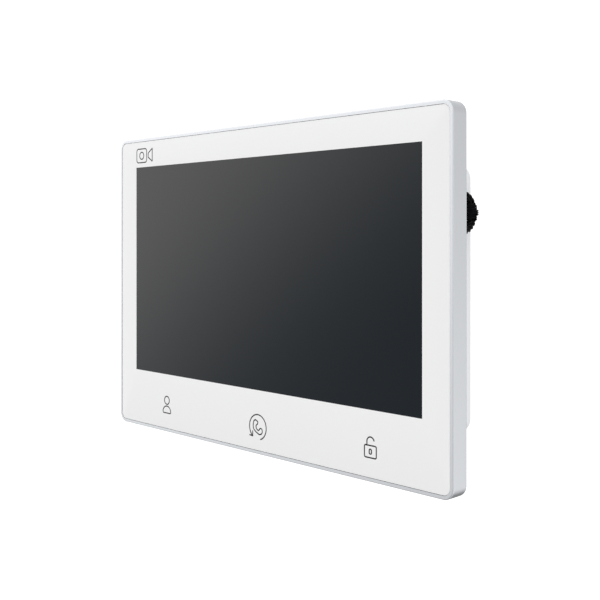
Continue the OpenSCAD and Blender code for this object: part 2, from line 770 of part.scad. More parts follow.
wall_bracket();
front_bezel();
front_glass();
glass_tape();
border_mask();
key_icons();
lcd_panel();
lcd_tray();
lcd_flex();
touch_board();
touch_pads();
key_lights();
touch_flex();
microphone();
mic_boot();
main_board();
processor();
heat_sink();
memory_chips();
radio_shield();
capacitors();
inductors();
battery_holder();
clock_battery();
card_socket();
memory_card();
switch_body();
switch_lever();
reset_switch();
reset_button();
station_sockets();
socket_pins();
power_terminal();
terminal_screws();
speaker_basket();
speaker_cone();
speaker_magnet();
speaker_gasket();
board_screws();
case_screws();
rear_cover();
rubber_pads();
rating_label();
lead_grommet();
lead_wire();
lead_coil();
lead_tie();
lead_plug();
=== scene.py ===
"""Looks of an indoor video intercom monitor on its wall bracket.

Lengths are millimetres, times MM; the frame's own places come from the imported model's boxes.
Every new piece is a grid of points worked out with numpy, most of them a profile carried along a path.
"""

import json
import math

import bpy
import numpy as np
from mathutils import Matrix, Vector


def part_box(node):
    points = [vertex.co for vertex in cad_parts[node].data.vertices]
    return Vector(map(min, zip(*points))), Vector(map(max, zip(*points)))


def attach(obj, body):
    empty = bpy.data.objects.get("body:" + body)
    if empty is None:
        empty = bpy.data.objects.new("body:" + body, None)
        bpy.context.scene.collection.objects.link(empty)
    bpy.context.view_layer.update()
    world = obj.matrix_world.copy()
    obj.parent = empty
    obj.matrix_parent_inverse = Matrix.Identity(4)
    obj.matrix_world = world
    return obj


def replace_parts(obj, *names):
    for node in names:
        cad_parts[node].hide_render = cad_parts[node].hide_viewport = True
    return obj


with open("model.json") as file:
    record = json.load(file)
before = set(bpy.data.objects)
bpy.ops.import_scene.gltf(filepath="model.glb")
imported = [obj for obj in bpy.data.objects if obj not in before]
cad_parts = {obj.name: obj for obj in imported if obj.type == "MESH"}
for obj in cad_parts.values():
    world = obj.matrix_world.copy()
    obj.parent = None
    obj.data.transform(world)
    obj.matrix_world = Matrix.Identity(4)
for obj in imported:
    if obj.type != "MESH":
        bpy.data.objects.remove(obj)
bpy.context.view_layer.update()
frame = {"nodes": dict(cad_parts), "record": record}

MM = 0.001
BEZEL = np.array(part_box("front_bezel"))
GLASS = np.array(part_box("front_glass"))
FRONT = BEZEL[0][1]
FACE = GLASS[0][1]
WINDOW_W, WINDOW_H, WINDOW_Z = 154.6 * MM, 86.2 * MM, 5.7 * MM

# ---------------------------------------------------------------- node arithmetic


class Value:
    """A number on a shader socket; arithmetic on it adds Math nodes."""

    def __init__(self, tree, socket):
        self.tree = tree
        self.socket = socket

    def math(self, operation, *terms):
        """The Math node of that operation on the terms, each a number or a Value."""
        node = self.tree.nodes.new("ShaderNodeMath")
        node.operation = operation
        for slot, term in zip(node.inputs, terms):
            if isinstance(term, Value):
                self.tree.links.new(term.socket, slot)
            else:
                slot.default_value = term
        return Value(self.tree, node.outputs[0])

    def __add__(self, other):
        return self.math("ADD", self, other)

    def __sub__(self, other):
        return self.math("SUBTRACT", self, other)

    def __rsub__(self, other):
        return self.math("SUBTRACT", other, self)

    def __mul__(self, other):
        return self.math("MULTIPLY", self, other)

    def __truediv__(self, other):
        return self.math("DIVIDE", self, other)

    def __pow__(self, other):
        return self.math("POWER", self, other)

    __radd__ = __add__
    __rmul__ = __mul__

    def above(self, edge):
        """1 where the value is over the edge, else 0."""
        return self.math("GREATER_THAN", self, edge)

    def sine(self):
        """The sine of the value in radians."""
        return self.math("SINE", self)

    def clamped(self):
        """The value, held between 0 and 1."""
        return self.math("MINIMUM", self.math("MAXIMUM", self, 0.0), 1.0)


class Nodes:
    """Adds nodes to a shader tree."""

    def __init__(self, tree):
        self.tree = tree

    def node(self, kind, settings=None, output=0, **inputs):
        """A node of that kind: its settings are made first, then its inputs' values or links."""
        node = self.tree.nodes.new("ShaderNode" + kind)
        for key, value in (settings or {}).items():
            setattr(node, key, value)
        for key, value in inputs.items():
            slot = node.inputs[int(key[1:]) if key[1:].isdigit() else key.replace("_", " ")]
            if isinstance(value, Value):
                self.join(value, slot)
            else:
                slot.default_value = value
        return Value(self.tree, node.outputs[output])

    def join(self, value, slot):
        """Links a value to an input."""
        self.tree.links.new(value.socket, slot)


# ---------------------------------------------------------------- camera and light

# middle, amount and power of each zone of the studio that is brighter or dimmer than white
STUDIO_ZONES = [
    ((0.85, 0.2, 0.4), -0.3, 1.5),
    ((0.0, 1.0, 0.2), -0.2, 1.0),
    ((0.8, -0.6, -0.2), 0.12, 4.0),
    ((0.72, 0.65, -0.5), 0.68, 8.0),
    ((-0.1, 0.7, -0.75), -0.9, 5.0),
    ((-0.3, -1.0, 0.1), 0.62, 1.0),
    ((-0.2, -0.85, -0.5), -1.2, 2.0),
    ((-0.75, -0.55, 0.35), 0.5, 4.0),
]


def set_camera():
    """A level camera to the monitor's right, lowered in the frame by its shift."""
    data = bpy.data.cameras.new("camera")
    data.lens = 56.3
    data.shift_y = -0.104
    data.clip_start = 0.01
    camera = bpy.data.objects.new("camera", data)
    camera.location = (259.3 * MM, FRONT - 230.5 * MM, 18.9 * MM)
    camera.rotation_euler = (math.radians(90), 0, math.radians(45.7))
    bpy.context.scene.collection.objects.link(camera)
    bpy.context.scene.camera = camera


def set_light():
    """A white studio all round, with brighter and dimmer zones.

    The brightness in a direction is 1 plus, for each zone, its amount times the direction's closeness
    to the zone's middle raised to a power.
    """
    world = bpy.data.worlds.new("white_studio")
    world.use_nodes = True
    room = Nodes(world.node_tree)
    direction = room.node("TexCoord")
    brightness = 1.0
    for middle, amount, power in STUDIO_ZONES:
        middle = np.array(middle) / np.linalg.norm(middle)
        settings = {"operation": "DOT_PRODUCT"}
        near = room.node("VectorMath", settings, output=1, _0=direction, _1=tuple(middle)).clamped()
        brightness = near**power * amount + brightness
    room.join(brightness, world.node_tree.nodes["Background"].inputs["Strength"])
    world.node_tree.nodes["Background"].inputs["Color"].default_value = (1, 1, 1, 1)
    bpy.context.scene.world = world
    bpy.context.scene.view_settings.view_transform = "Standard"


# ---------------------------------------------------------------- finishes


class Finish(Nodes):
    """One material: a Principled shader whose sockets are fed by procedural patterns."""

    def __init__(self, name, **constants):
        self.material = bpy.data.materials.new(name)
        self.material.use_nodes = True
        super().__init__(self.material.node_tree)
        self.shader = self.tree.nodes["Principled BSDF"]
        for socket, value in constants.items():
            self.shader.inputs[socket.replace("_", " ")].default_value = value

    def feed(self, socket, value):
        """Joins a value to one of the shader's sockets."""
        self.join(value, self.shader.inputs[socket])
        return self

    def place(self):
        """The point on the object, in metres."""
        return self.node("TexCoord", output=3)

    def axis(self, k):
        """One coordinate of the point on the object: 0 is X, 1 is Y and 2 is Z."""
        return self.node("SeparateXYZ", output=k, Vector=self.place())

    def stretched(self, x, y, z):
        """The point on the object with each coordinate multiplied."""
        return self.node("Mapping", Vector=self.place(), Scale=(x, y, z))

    def noise(self, size, detail=3.0, where=None):
        """Smooth noise whose blotches are about size metres across."""
        where = where or self.place()
        return self.node("TexNoise", Vector=where, Scale=1 / size, Detail=detail)

    def blend(self, share, low, high):
        """A colour between low and high."""
        settings = {"data_type": "RGBA"}
        low, high = ((*c, 1) if isinstance(c, tuple) else c for c in (low, high))
        return self.node("Mix", settings, output=2, _0=share, _6=low, _7=high)

    def relief(self, height, depth, strength=1.0):
        """Feeds the shader's normal with a bump of that depth in metres."""
        bump = self.node("Bump", Height=height, Distance=depth, Strength=strength)
        return self.feed("Normal", bump)


def shade(colour, factor):
    """A colour made lighter or darker by a factor."""
    return tuple(min(1.0, c * factor) for c in colour)


def moulded(name, colour, rough, grain=0.25 * MM, depth=0.006 * MM, spread=0.03, **constants):
    """Moulded plastic: spark-eroded grain, a faint cloudiness and a roughness that varies with it."""
    skin = Finish(name, **constants)
    cloud = skin.noise(14 * MM, 2.0)
    fine = skin.noise(grain, 2.0)
    skin.feed("Base Color", skin.blend(cloud, shade(colour, 1 - spread), shade(colour, 1 + spread)))
    skin.feed("Roughness", rough - 0.05 + fine * 0.1)
    return skin.relief(fine, depth).material


def sheet_metal(name, colour, rough, brush=(1.0, 1.0, 12.0), grain=0.12 * MM, depth=0.003 * MM):
    """Rolled sheet: streaks drawn out along one axis, dull blotches, and a fine relief."""
    skin = Finish(name, Metallic=1.0)
    streak = skin.noise(grain, 2.0, skin.stretched(*brush))
    blotch = skin.noise(6 * MM, 3.0)
    skin.feed("Base Color", skin.blend(blotch, shade(colour, 0.9), shade(colour, 1.06)))
    skin.feed("Roughness", rough - 0.08 + streak * 0.1 + blotch * 0.08)
    return skin.relief(streak, depth).material


def spangled_zinc():
    """Zinc plated sheet: flat crystal patches of slightly different brightness."""
    skin = Finish("spangled_zinc", Metallic=1.0)
    crystal = skin.node("TexVoronoi", output=1, Vector=skin.place(), Scale=1 / (1.6 * MM))
    patch = skin.node("SeparateColor", Color=crystal)
    scuff = skin.noise(0.15 * MM, 2.0, skin.stretched(6.0, 1.0, 1.0))
    skin.feed("Base Color", skin.blend(patch, (0.58, 0.6, 0.63), (0.72, 0.73, 0.75)))
    skin.feed("Roughness", 0.3 + patch * 0.12 + scuff * 0.06)
    return skin.relief(scuff, 0.003 * MM).material


def soft_rubber(name, colour, rough=0.6):
    """Rubber or soft vinyl: a dull skin with a faint bloom."""
    skin = Finish(name, Specular_IOR_Level=0.2)
    bloom = skin.noise(2.5 * MM, 4.0)
    fine = skin.noise(0.12 * MM, 2.0)
    skin.feed("Base Color", skin.blend(bloom, colour, shade(colour, 1.8)))
    skin.feed("Roughness", rough + bloom * 0.15)
    return skin.relief(fine, 0.004 * MM).material


def foam(name, colour):
    """Open foam: small dark cells."""
    skin = Finish(name, Specular_IOR_Level=0.2)
    cell = skin.node("TexVoronoi", Vector=skin.place(), Scale=1 / (0.3 * MM))
    skin.feed("Base Color", skin.blend(cell, shade(colour, 0.5), shade(colour, 1.3)))
    skin.feed("Roughness", 0.85 + cell * 0.1)
    return skin.relief(cell, 0.03 * MM).material


def circuit_board():
    """Green solder mask over a grid of copper tracks, with plated pads."""
    skin = Finish("green_board", Coat_Weight=0.4, Coat_Roughness=0.2)
    x, z = skin.axis(0), skin.axis(2)
    upright_pitch, level_pitch, gap = 1.1 * MM, 1.3 * MM, 0.3
    wander = skin.noise(9 * MM, 1.0) * 5.0
    tracks = (x * (math.tau / upright_pitch) + wander * 3.0).sine().above(gap)
    cross = (z * (math.tau / level_pitch) + wander * 3.0).sine().above(gap)
    zone = skin.noise(12 * MM, 0.0).above(0.5)
    copper = tracks * zone + cross * (1 - zone)
    pad = skin.node("TexVoronoi", Vector=skin.place(), Scale=1 / (2.4 * MM))
    plated = 1 - pad.above(0.16)
    green = skin.blend(copper, (0.012, 0.13, 0.05), (0.025, 0.21, 0.085))
    skin.feed("Base Color", skin.blend(plated, green, (0.6, 0.5, 0.27)))
    skin.feed("Metallic", plated * 0.9)
    skin.feed("Roughness", 0.32 + copper * 0.08)
    return skin.relief(copper + plated, 0.02 * MM).material


def moulded_chip():
    """Black epoxy with fine mineral specks."""
    skin = Finish("chip_black")
    speck = skin.noise(0.1 * MM, 4.0)
    skin.feed("Base Color", skin.blend(speck.above(0.62), (0.018, 0.018, 0.02), (0.06, 0.06, 0.062)))
    skin.feed("Roughness", 0.45 + speck * 0.15)
    return skin.relief(speck, 0.01 * MM).material


def film(name, colour):
    """Amber flexible circuit: thin tracks that run along it under a clear skin."""
    skin = Finish(name, Coat_Weight=0.6, Coat_Roughness=0.15)
    track = (skin.axis(0) * (math.tau / (0.5 * MM))).sine().above(0.1)
    skin.feed("Base Color", skin.blend(track, shade(colour, 0.6), colour))
    skin.feed("Roughness", 0.35 + track * 0.1)
    return skin.relief(track, 0.01 * MM).material


def white_glass():
    """White ink behind polished glass: an even white with a bright clear coat and a faint waviness."""
    skin = Finish(
        "white_glass", Coat_Weight=0.14, Coat_Roughness=0.02, Roughness=0.4, Specular_IOR_Level=0.1
    )
    wave = skin.noise(40 * MM, 1.0)
    skin.feed("Base Color", skin.blend(wave, (0.865, 0.865, 0.867), (0.878, 0.878, 0.879)))
    return skin.relief(wave, 0.004 * MM).material


def dark_window():
    """Unlit picture panel under glass: near black, with a painted reflection that makes it milkier
    towards the top left corner.

    The painted sheen is a smooth step of rise, which falls evenly across and down the window, to a
    power.
    """
    skin = Finish("dark_window", Roughness=0.3, Specular_IOR_Level=0.12)
    across = skin.axis(0) / WINDOW_W + 0.5
    down = 0.5 - (skin.axis(2) - WINDOW_Z) / WINDOW_H
    end, downward, width, power = 1.62, 0.82, 1.5, 1.3
    rise = ((end - across - down * downward) / width).clamped()
    # painted reflection: the base colour is made paler towards the top left to stand in for a sheen on
    # the glass
    painted_sheen = (rise * rise * (3.0 - 2.0 * rise)) ** power
    mottle = skin.noise(0.25 * MM, 1.0)
    skin.feed("Base Color", skin.blend(painted_sheen, (0.0065, 0.0105, 0.0145), (0.071, 0.071, 0.071)))
    skin.feed("Roughness", 0.27 + mottle * 0.06)
    return skin.material


def printed_ink():
    """Dark grey screen print with slightly uneven cover."""
    skin = Finish("printed_ink", Coat_Weight=0.3, Coat_Roughness=0.02, Specular_IOR_Level=0.2)
    cover = skin.noise(0.2 * MM, 3.0)
    skin.feed("Base Color", skin.blend(cover, (0.006, 0.0065, 0.007), (0.014, 0.0145, 0.015)))
    skin.feed("Roughness", 0.4 + cover * 0.1)
    return skin.material


def wire_skin():
    """Black vinyl insulation: dull, with faint drag marks along the wire."""
    skin = Finish("wire_black", Specular_IOR_Level=0.12)
    drag = skin.noise(0.2 * MM, 3.0)
    skin.feed("Base Color", skin.blend(drag, (0.004, 0.004, 0.005), (0.012, 0.012, 0.014)))
    skin.feed("Roughness", 0.42 + drag * 0.15)
    return skin.relief(drag, 0.006 * MM).material


def label_film():
    """Blank satin label stock."""
    skin = Finish("label_film", Metallic=0.5)
    fibre = skin.noise(0.4 * MM, 3.0, skin.stretched(1.0, 1.0, 5.0))
    skin.feed("Base Color", skin.blend(fibre, (0.6, 0.61, 0.62), (0.7, 0.71, 0.72)))
    skin.feed("Roughness", 0.4 + fibre * 0.12)
    return skin.relief(fibre, 0.003 * MM).material


def make_finishes():
    """The material of every slot in the record."""
    return {
        "zinc_steel": spangled_zinc(),
        "white_frame": moulded(
            "white_frame", (0.655, 0.672, 0.70), 0.24, depth=0.001 * MM, spread=0.01, Metallic=0.6
        ),
        "front_glass": white_glass(),
        "black_tape": foam("black_tape", (0.02, 0.02, 0.02)),
        "white_print": moulded("white_print", (0.8, 0.8, 0.8), 0.5, spread=0.01),
        "grey_print": printed_ink(),
        "dark_panel": dark_window(),
        "tray_steel": sheet_metal("tray_steel", (0.62, 0.63, 0.64), 0.34, (12.0, 1.0, 1.0)),
        "flex_film": film("flex_film", (0.55, 0.26, 0.06)),
        "green_board": circuit_board(),
        "grey_foam": foam("grey_foam", (0.12, 0.12, 0.125)),
        "led_body": moulded("led_body", (0.8, 0.78, 0.6), 0.25, spread=0.05, Coat_Weight=0.5),
        "gold_can": sheet_metal("gold_can", (0.8, 0.62, 0.3), 0.25, (1.0, 6.0, 1.0)),
        "black_rubber": soft_rubber("black_rubber", (0.012, 0.012, 0.012)),
        "chip_black": moulded_chip(),
        "fin_aluminium": sheet_metal("fin_aluminium", (0.75, 0.76, 0.78), 0.36, (1.0, 1.0, 14.0)),
        "tin_can": sheet_metal("tin_can", (0.7, 0.71, 0.73), 0.28, (10.0, 1.0, 1.0)),
        "can_aluminium": sheet_metal("can_aluminium", (0.72, 0.73, 0.76), 0.3, (1.0, 8.0, 1.0)),
        "ferrite": moulded("ferrite", (0.045, 0.045, 0.05), 0.6, 0.15 * MM, 0.02 * MM, 0.2),
        "black_plastic": moulded("black_plastic", (0.02, 0.02, 0.022), 0.45, 0.2 * MM, 0.01 * MM, 0.15),
        "cell_steel": sheet_metal("cell_steel", (0.76, 0.76, 0.77), 0.22, (1.0, 1.0, 9.0)),
        "grey_plastic": moulded("grey_plastic", (0.22, 0.225, 0.24), 0.4, spread=0.06),
        "ivory_nylon": moulded("ivory_nylon", (0.76, 0.72, 0.6), 0.42, spread=0.05),
        "gold_pins": sheet_metal("gold_pins", (0.83, 0.66, 0.35), 0.2, (1.0, 5.0, 1.0)),
        "green_nylon": moulded("green_nylon", (0.02, 0.2, 0.06), 0.4, spread=0.08),
        "screw_steel": sheet_metal("screw_steel", (0.6, 0.61, 0.63), 0.26, (1.0, 6.0, 1.0)),
        "black_steel": moulded("black_steel", (0.03, 0.03, 0.032), 0.35, 0.4 * MM, 0.02 * MM, 0.1),
        "speaker_paper": moulded("speaker_paper", (0.03, 0.03, 0.032), 0.8, 0.15 * MM, 0.04 * MM, 0.3),
        "magnet_steel": sheet_metal("magnet_steel", (0.5, 0.5, 0.52), 0.3),
        "white_cover": moulded("white_cover", (0.9, 0.92, 0.935), 0.5, 0.3 * MM, 0.01 * MM, 0.012),
        "label_film": label_film(),
        "wire_black": wire_skin(),
        "tie_black": moulded(
            "tie_black", (0.003, 0.003, 0.004), 0.6, spread=0.2, Specular_IOR_Level=0.04
        ),
        "plug_black": moulded(
            "plug_black", (0.012, 0.012, 0.014), 0.42, spread=0.15, Specular_IOR_Level=0.25
        ),
    }


def dress_nodes():
    """Gives every CAD node the finish of its slot."""
    for part in frame["record"]["subparts"]:
        mesh = frame["nodes"][part["node"]].data
        mesh.materials.clear()
        mesh.materials.append(FINISHES[part["material_slot"]])


# ---------------------------------------------------------------- surfaces

# points worked out between two neighbours of a smooth path, and a line that no path starts along
CURVE_STEPS = 24
SLANT = (0.31, 1.0, 0.17)


def surface(points, closed=(False, True), caps=False, flip=False):
    """The vertices and faces of a grid of points (rows, columns, 3).

    Each face joins a point to the next one in its row and to the same two of the next row. closed
    says whether the last row joins the first, and the last column the first. caps closes the first
    and last row with a fan about the row's mean point.
    """
    rows, columns = points.shape[:2]
    here = np.arange(rows * columns).reshape(rows, columns)
    beside = np.roll(here, -1, axis=1)
    corners = np.stack([here, np.roll(here, -1, 0), np.roll(beside, -1, 0), beside], -1)
    corners = corners[: rows if closed[0] else rows - 1, : columns if closed[1] else columns - 1]
    vertices = points.reshape(-1, 3)
    faces = [corners.reshape(-1, 4)]
    if caps:
        first = np.full(columns, len(vertices))
        vertices = np.vstack([vertices, points[0].mean(0), points[-1].mean(0)])
        faces.append(np.stack([here[0], beside[0], first], -1))
        faces.append(np.stack([beside[-1], here[-1], first + 1], -1))
    if flip:
        faces = [block[:, ::-1] for block in faces]
    return vertices, faces


def mesh_of(name, *surfaces):
    """One smooth mesh of several surfaces; each one's vertices are numbered on from the last one's."""
    vertices, faces, start = [], [], 0
    for points, blocks in surfaces:
        vertices.append(points)
        for corners in blocks:
            faces += (corners + start).tolist()
        start += len(points)
    mesh = bpy.data.meshes.new(name)
    mesh.from_pydata(np.vstack(vertices).tolist(), [], faces)
    mesh.shade_smooth()
    return mesh


def piece_of(name, slot, *surfaces):
    """A finished piece: its surfaces in one mesh, in its slot's material, riding on the monitor."""
    mesh = mesh_of(name, *surfaces)
    mesh.materials.append(FINISHES[slot])
    piece = bpy.data.objects.new(name, mesh)
    bpy.context.scene.collection.objects.link(piece)
    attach(piece, "monitor")
    return piece


def crease(piece, degrees):
    """Shades edges sharper than an angle as edges, the rest as one smooth skin."""
    piece.data.set_sharp_from_angle(angle=math.radians(degrees))
    return piece


def arc(centre, radius, start, stop, count):
    """Points on a circle from one angle to another, in degrees."""
    angle = np.radians(np.linspace(start, stop, count))
    return np.array(centre) + radius * np.stack([np.cos(angle), np.sin(angle)], -1)


def rounded_outline(width, height, radius, per_corner=12):
    """A rounded rectangle about the origin, anticlockwise from its right side's top."""
    x, z = width / 2 - radius, height / 2 - radius
    corners = [(x, z, 0), (-x, z, 90), (-x, -z, 180), (x, -z, 270)]
    return np.vstack([arc((a, b), radius, s, s + 90, per_corner) for a, b, s in corners])


def run_along(curve):
    """The distance from a broken line's start to each of its points."""
    return np.concatenate([[0], np.cumsum(np.linalg.norm(np.diff(curve, axis=0), axis=1))])


def resampled(curve, step):
    """Points at equal steps along a broken line."""
    run = run_along(curve)
    count = max(2, round(run[-1] / step) + 1)
    at = np.linspace(0, run[-1], count)
    return np.stack([np.interp(at, run, curve[:, k]) for k in range(curve.shape[1])], -1)


def smooth_path(points, step):
    """A Catmull-Rom curve through the points, resampled at equal steps along its length.

    From b to c, with a before them and d after, it is half of
    2b + (c - a) t + (2a - 5b + 4c - d) t^2 + (3b - a - 3c + d) t^3.
    """
    p = np.vstack([2 * points[0] - points[1], points, 2 * points[-1] - points[-2]])
    t = np.linspace(0, 1, CURVE_STEPS, endpoint=False)[:, None]
    a, b, c, d = p[:-3, None], p[1:-2, None], p[2:-1, None], p[3:, None]
    square = 2 * a - 5 * b + 4 * c - d
    cube = 3 * b - a - 3 * c + d
    curve = 0.5 * (2 * b + (c - a) * t + square * t**2 + cube * t**3)
    curve = np.vstack([curve.reshape(-1, p.shape[1]), points[-1]])
    return resampled(curve, step)


def frames_along(path):
    """Two directions square to the path at each of its points, with no sudden turn between points.

    Each point's side is the last point's, less its share along the tangent there, at unit length.
    The up direction is the tangent's cross product with the side.
    """
    tangent = np.gradient(path, axis=0)
    tangent /= np.linalg.norm(tangent, axis=1, keepdims=True)
    side = np.empty_like(path)
    first = np.cross(tangent[0], SLANT)
    side[0] = first / np.linalg.norm(first)
    for k in range(1, len(path)):
        carried = side[k - 1] - tangent[k] * (side[k - 1] @ tangent[k])
        side[k] = carried / np.linalg.norm(carried)
    return side, np.cross(tangent, side)


def tube_points(path, radius, sides=8):
    """A round tube along a path: centre + radius (cos a side + sin a up)."""
    side, up = frames_along(path)
    angle = np.linspace(0, math.tau, sides, endpoint=False)[None, :, None]
    return path[:, None] + radius * (np.cos(angle) * side[:, None] + np.sin(angle) * up[:, None])


def wound_about(path, offset, pitch, phase):
    """A strand that winds about the path at a distance, once per pitch."""
    side, up = frames_along(path)
    angle = (run_along(path) / pitch * math.tau + phase)[:, None]
    return path + offset * (np.cos(angle) * side + np.sin(angle) * up)


# ---------------------------------------------------------------- wire lead

# each wire's radius, its distance from the middle and the length of a twist
STRAND_R = 0.31 * MM
STRAND_OFFSET = 0.3 * MM
STRAND_PITCH = 3.2 * MM
COIL_CENTRE = np.array([85.0, -11.1, 26.7]) * MM
ENTRY = np.array([
    [82.7, -11.6, 35.2], [83.5, -11.65, 35.15], [84.4, -11.8, 34.9], [85.2, -12.1, 34.4],
    [85.8, -12.5, 33.7], [86.1, -12.9, 32.8], [86.2, -13.3, 31.8],
]) * MM
EXIT = np.array([
    [83.8, -13.5, 22.4], [83.9, -13.4, 21.2], [84.0, -13.2, 20.0], [84.2, -13.0, 18.8],
    [84.4, -12.8, 17.6], [84.5, -12.7, 16.4], [84.5, -12.6, 15.2], [84.5, -12.6, 14.0],
]) * MM
# a turn's radius at its back, the distance to its flat front and the radius of its corners
COIL_R = 5.8 * MM
COIL_FRONT = 2.4 * MM
COIL_CORNER = 2.4 * MM
TALLER = 1.06
# each turn's place along X and how far it lies inside the outer turns, in millimetres
TURNS = [(1.0, 0.0), (0.5, 0.8), (0.0, 0.0), (-0.5, 0.8), (-1.0, 0.0)]


def coil_turn(inset):
    """One turn about the coil's centre in (y, z), from the flat front's top down and round.

    A circle of radius R for the back, corner arcs of radius c whose centres lie R - c from its
    centre, and a straight front, all drawn out upright by TALLER.
    """
    radius = COIL_R - inset
    across = COIL_CORNER - (COIL_FRONT - inset)
    upward = math.sqrt((radius - COIL_CORNER) ** 2 - across**2)
    meet = math.degrees(math.atan2(upward, across))
    low = arc((across, -upward), COIL_CORNER, 180, 360 - meet, 10)
    back = arc((0, 0), radius, -meet, meet, 30)
    top = arc((across, upward), COIL_CORNER, meet, 180, 10)
    loop = np.vstack([low, back[1:-1], top]) * (1.0, TALLER)
    return resampled(loop, 0.4 * MM)


def lead_path():
    """The lead from its grommet, through the coil's turns, down to its plug.

    Each turn stays at its own place along X and moves over to the next one's near its end.
    """
    stretches = [ENTRY]
    for (x, inset), (after, _) in zip(TURNS, TURNS[1:] + TURNS[-1:]):
        turn = coil_turn(inset * MM)
        moved = np.linspace(0, 1, len(turn)) ** 3
        across = (x + (after - x) * moved) * MM
        stretches.append(np.column_stack([across, turn]) + COIL_CENTRE)
    rough = np.vstack([*stretches, EXIT])
    return smooth_path(resampled(rough, 0.9 * MM), 0.25 * MM)


def make_lead():
    """A twisted pair of thin wires that follows the lead's path."""
    path = lead_path()
    strands = [wound_about(path, STRAND_OFFSET, STRAND_PITCH, phase) for phase in (0, math.pi)]
    skins = [surface(tube_points(strand, STRAND_R), caps=True) for strand in strands]
    lead = piece_of("twisted_lead", "wire_black", *skins)
    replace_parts(lead, "lead_wire", "lead_coil")


# ---------------------------------------------------------------- front

GLASS_CORNER = 2.6 * MM
POLISH = 0.12 * MM


def glass_outline(inset):
    """The glass's rounded outline in (x, z), drawn in by a distance."""
    width, _, height = GLASS[1] - GLASS[0]
    return rounded_outline(width - 2 * inset, height - 2 * inset, GLASS_CORNER - inset)


def make_glass():
    """White bordered glass with a polished edge, its face running in to the dark window.

    Each row is the outline drawn in by an inset, at a depth behind the face. The edge's rows follow
    a quarter circle, and the last row is the outline clipped to the window.
    """
    depth = GLASS[1][1] - GLASS[0][1]
    bends = np.linspace(0.2, math.pi / 2, 5)
    rows = [(0, depth), (0, POLISH)]
    rows += [(POLISH * (1 - math.cos(a)), POLISH * (1 - math.sin(a))) for a in bends]
    grid = [np.insert(glass_outline(inset), 1, FACE + deep, axis=1) for inset, deep in rows]
    limit = np.array([WINDOW_W / 2, WINDOW_H / 2])
    middle = np.array([0, WINDOW_Z])
    inner = np.clip(glass_outline(POLISH) - middle, -limit, limit) + middle
    grid.append(np.insert(inner, 1, FACE, axis=1))
    border = piece_of("white_border", "front_glass", surface(np.array(grid), flip=True))
    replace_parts(crease(border, 25), "front_glass")
    x = np.linspace(-WINDOW_W / 2, WINDOW_W / 2, 40)
    z = np.linspace(-WINDOW_H / 2, WINDOW_H / 2, 24)[:, None] + WINDOW_Z
    sheet = np.stack(np.broadcast_arrays(x, FACE, z), -1)
    piece_of("picture_window", "dark_panel", surface(sheet, closed=(False, False), flip=True))


# ---------------------------------------------------------------- key pictograms

# the printed line's width and the distance between its points
LINE = 0.48 * MM
LINE_STEP = 0.12 * MM
ROUND_END = np.radians(np.linspace(90, 15, 6))
# the line's cross section: share of its half width, and millimetres behind the glass's face
SECTION = [(-1, 0.005), (-0.96, -0.02), (0.96, -0.02), (1, 0.005)]


def ribbon(path, closed):
    """A printed line along a flat path: a thin raised strip of constant width.

    An open line's ends are half discs, their half width following a circle.
    """
    path = resampled(np.vstack([path, path[:1]]) if closed else path, LINE_STEP)
    if closed:
        path = path[:-1]
        ahead, behind = np.roll(path, -1, 0), np.roll(path, 1, 0)
        half = np.full(len(path), LINE / 2)
    else:
        start, stop = path[1] - path[0], path[-1] - path[-2]
        start, stop = start / np.linalg.norm(start), stop / np.linalg.norm(stop)
        head = path[0] - start * np.sin(ROUND_END)[:, None] * LINE / 2
        tail = path[-1] + stop * np.sin(ROUND_END)[::-1, None] * LINE / 2
        narrow = np.cos(ROUND_END) * LINE / 2
        half = np.concatenate([narrow, np.full(len(path), LINE / 2), narrow[::-1]])
        path = np.vstack([head, path, tail])
        ahead = np.vstack([path[1:], 2 * path[-1:] - path[-2:-1]])
        behind = np.vstack([2 * path[:1] - path[1:2], path[:-1]])
    along = ahead - behind
    along /= np.linalg.norm(along, axis=1, keepdims=True)
    across = np.column_stack([-along[:, 1], along[:, 0]]) * half[:, None]
    rows = [np.insert(path + across * u, 1, FACE + y * MM, axis=1) for u, y in SECTION]
    return surface(np.stack(rows, 1), closed=(closed, True), caps=not closed, flip=True)


def person_lines():
    """A round head over closed shoulders.

    Each line is its points in millimetres and whether it closes on itself.
    """
    head = arc((0.05, 1.6), 1.65, 0, 350, 36)
    dome = arc((0, -3.0), 2.75, 0, 180, 30) * (0.95, 0.85) + (0, -0.55)
    feet = np.vstack([arc((-2.11, -3.1), 0.5, 180, 270, 8), arc((2.11, -3.1), 0.5, 270, 360, 8)])
    return [(head, True), (np.vstack([dome, feet]), True)]


def call_lines():
    """A handset inside a ring that ends in an arrow."""
    ring = arc((0, 0), 4.6, -70, 232, 80)
    barb = np.array([(-2.85, -1.85), (-2.8, -3.6), (-4.5, -3.45)])
    handset = np.array([
        (-1.3, 2.6), (-2.3, 1.75), (-2.3, -0.85), (0.4, -2.5), (1.7, -2.4), (2.4, -1.7), (2.3, -0.65),
        (1.4, -0.3), (0.3, -1.2), (-0.85, -0.45), (-0.9, 0.55), (-0.2, 1.1), (-0.05, 1.95), (-1.3, 2.6),
    ])
    return [(ring, False), (barb, False), (smooth_path(handset, 0.15)[:-1], True)]


def lock_lines():
    """An open padlock with an oval keyhole."""
    base = rounded_outline(5.15, 4.0, 0.55, 8) + (0, -1.55)
    shackle = np.vstack([[(-1.5, 0.45)], arc((0.1, 1.65), 1.6, 180, 20, 30)])
    keyhole = rounded_outline(1.0, 1.6, 0.48, 8) + (0, -1.55)
    return [(base, True), (shackle, False), (keyhole, True)]


def camera_lines():
    """A small camera beside its view, a plain mark for the maker's corner."""
    case = rounded_outline(7.2, 5.8, 1.2, 8) + (-2.2, 0)
    lens = arc((-2.2, 0), 1.5, 0, 350, 24)
    view = np.array([(2.5, 0.9), (5.4, 2.7), (5.4, -2.7), (2.5, -0.9)])
    return [(case, True), (lens, True), (view, True)]


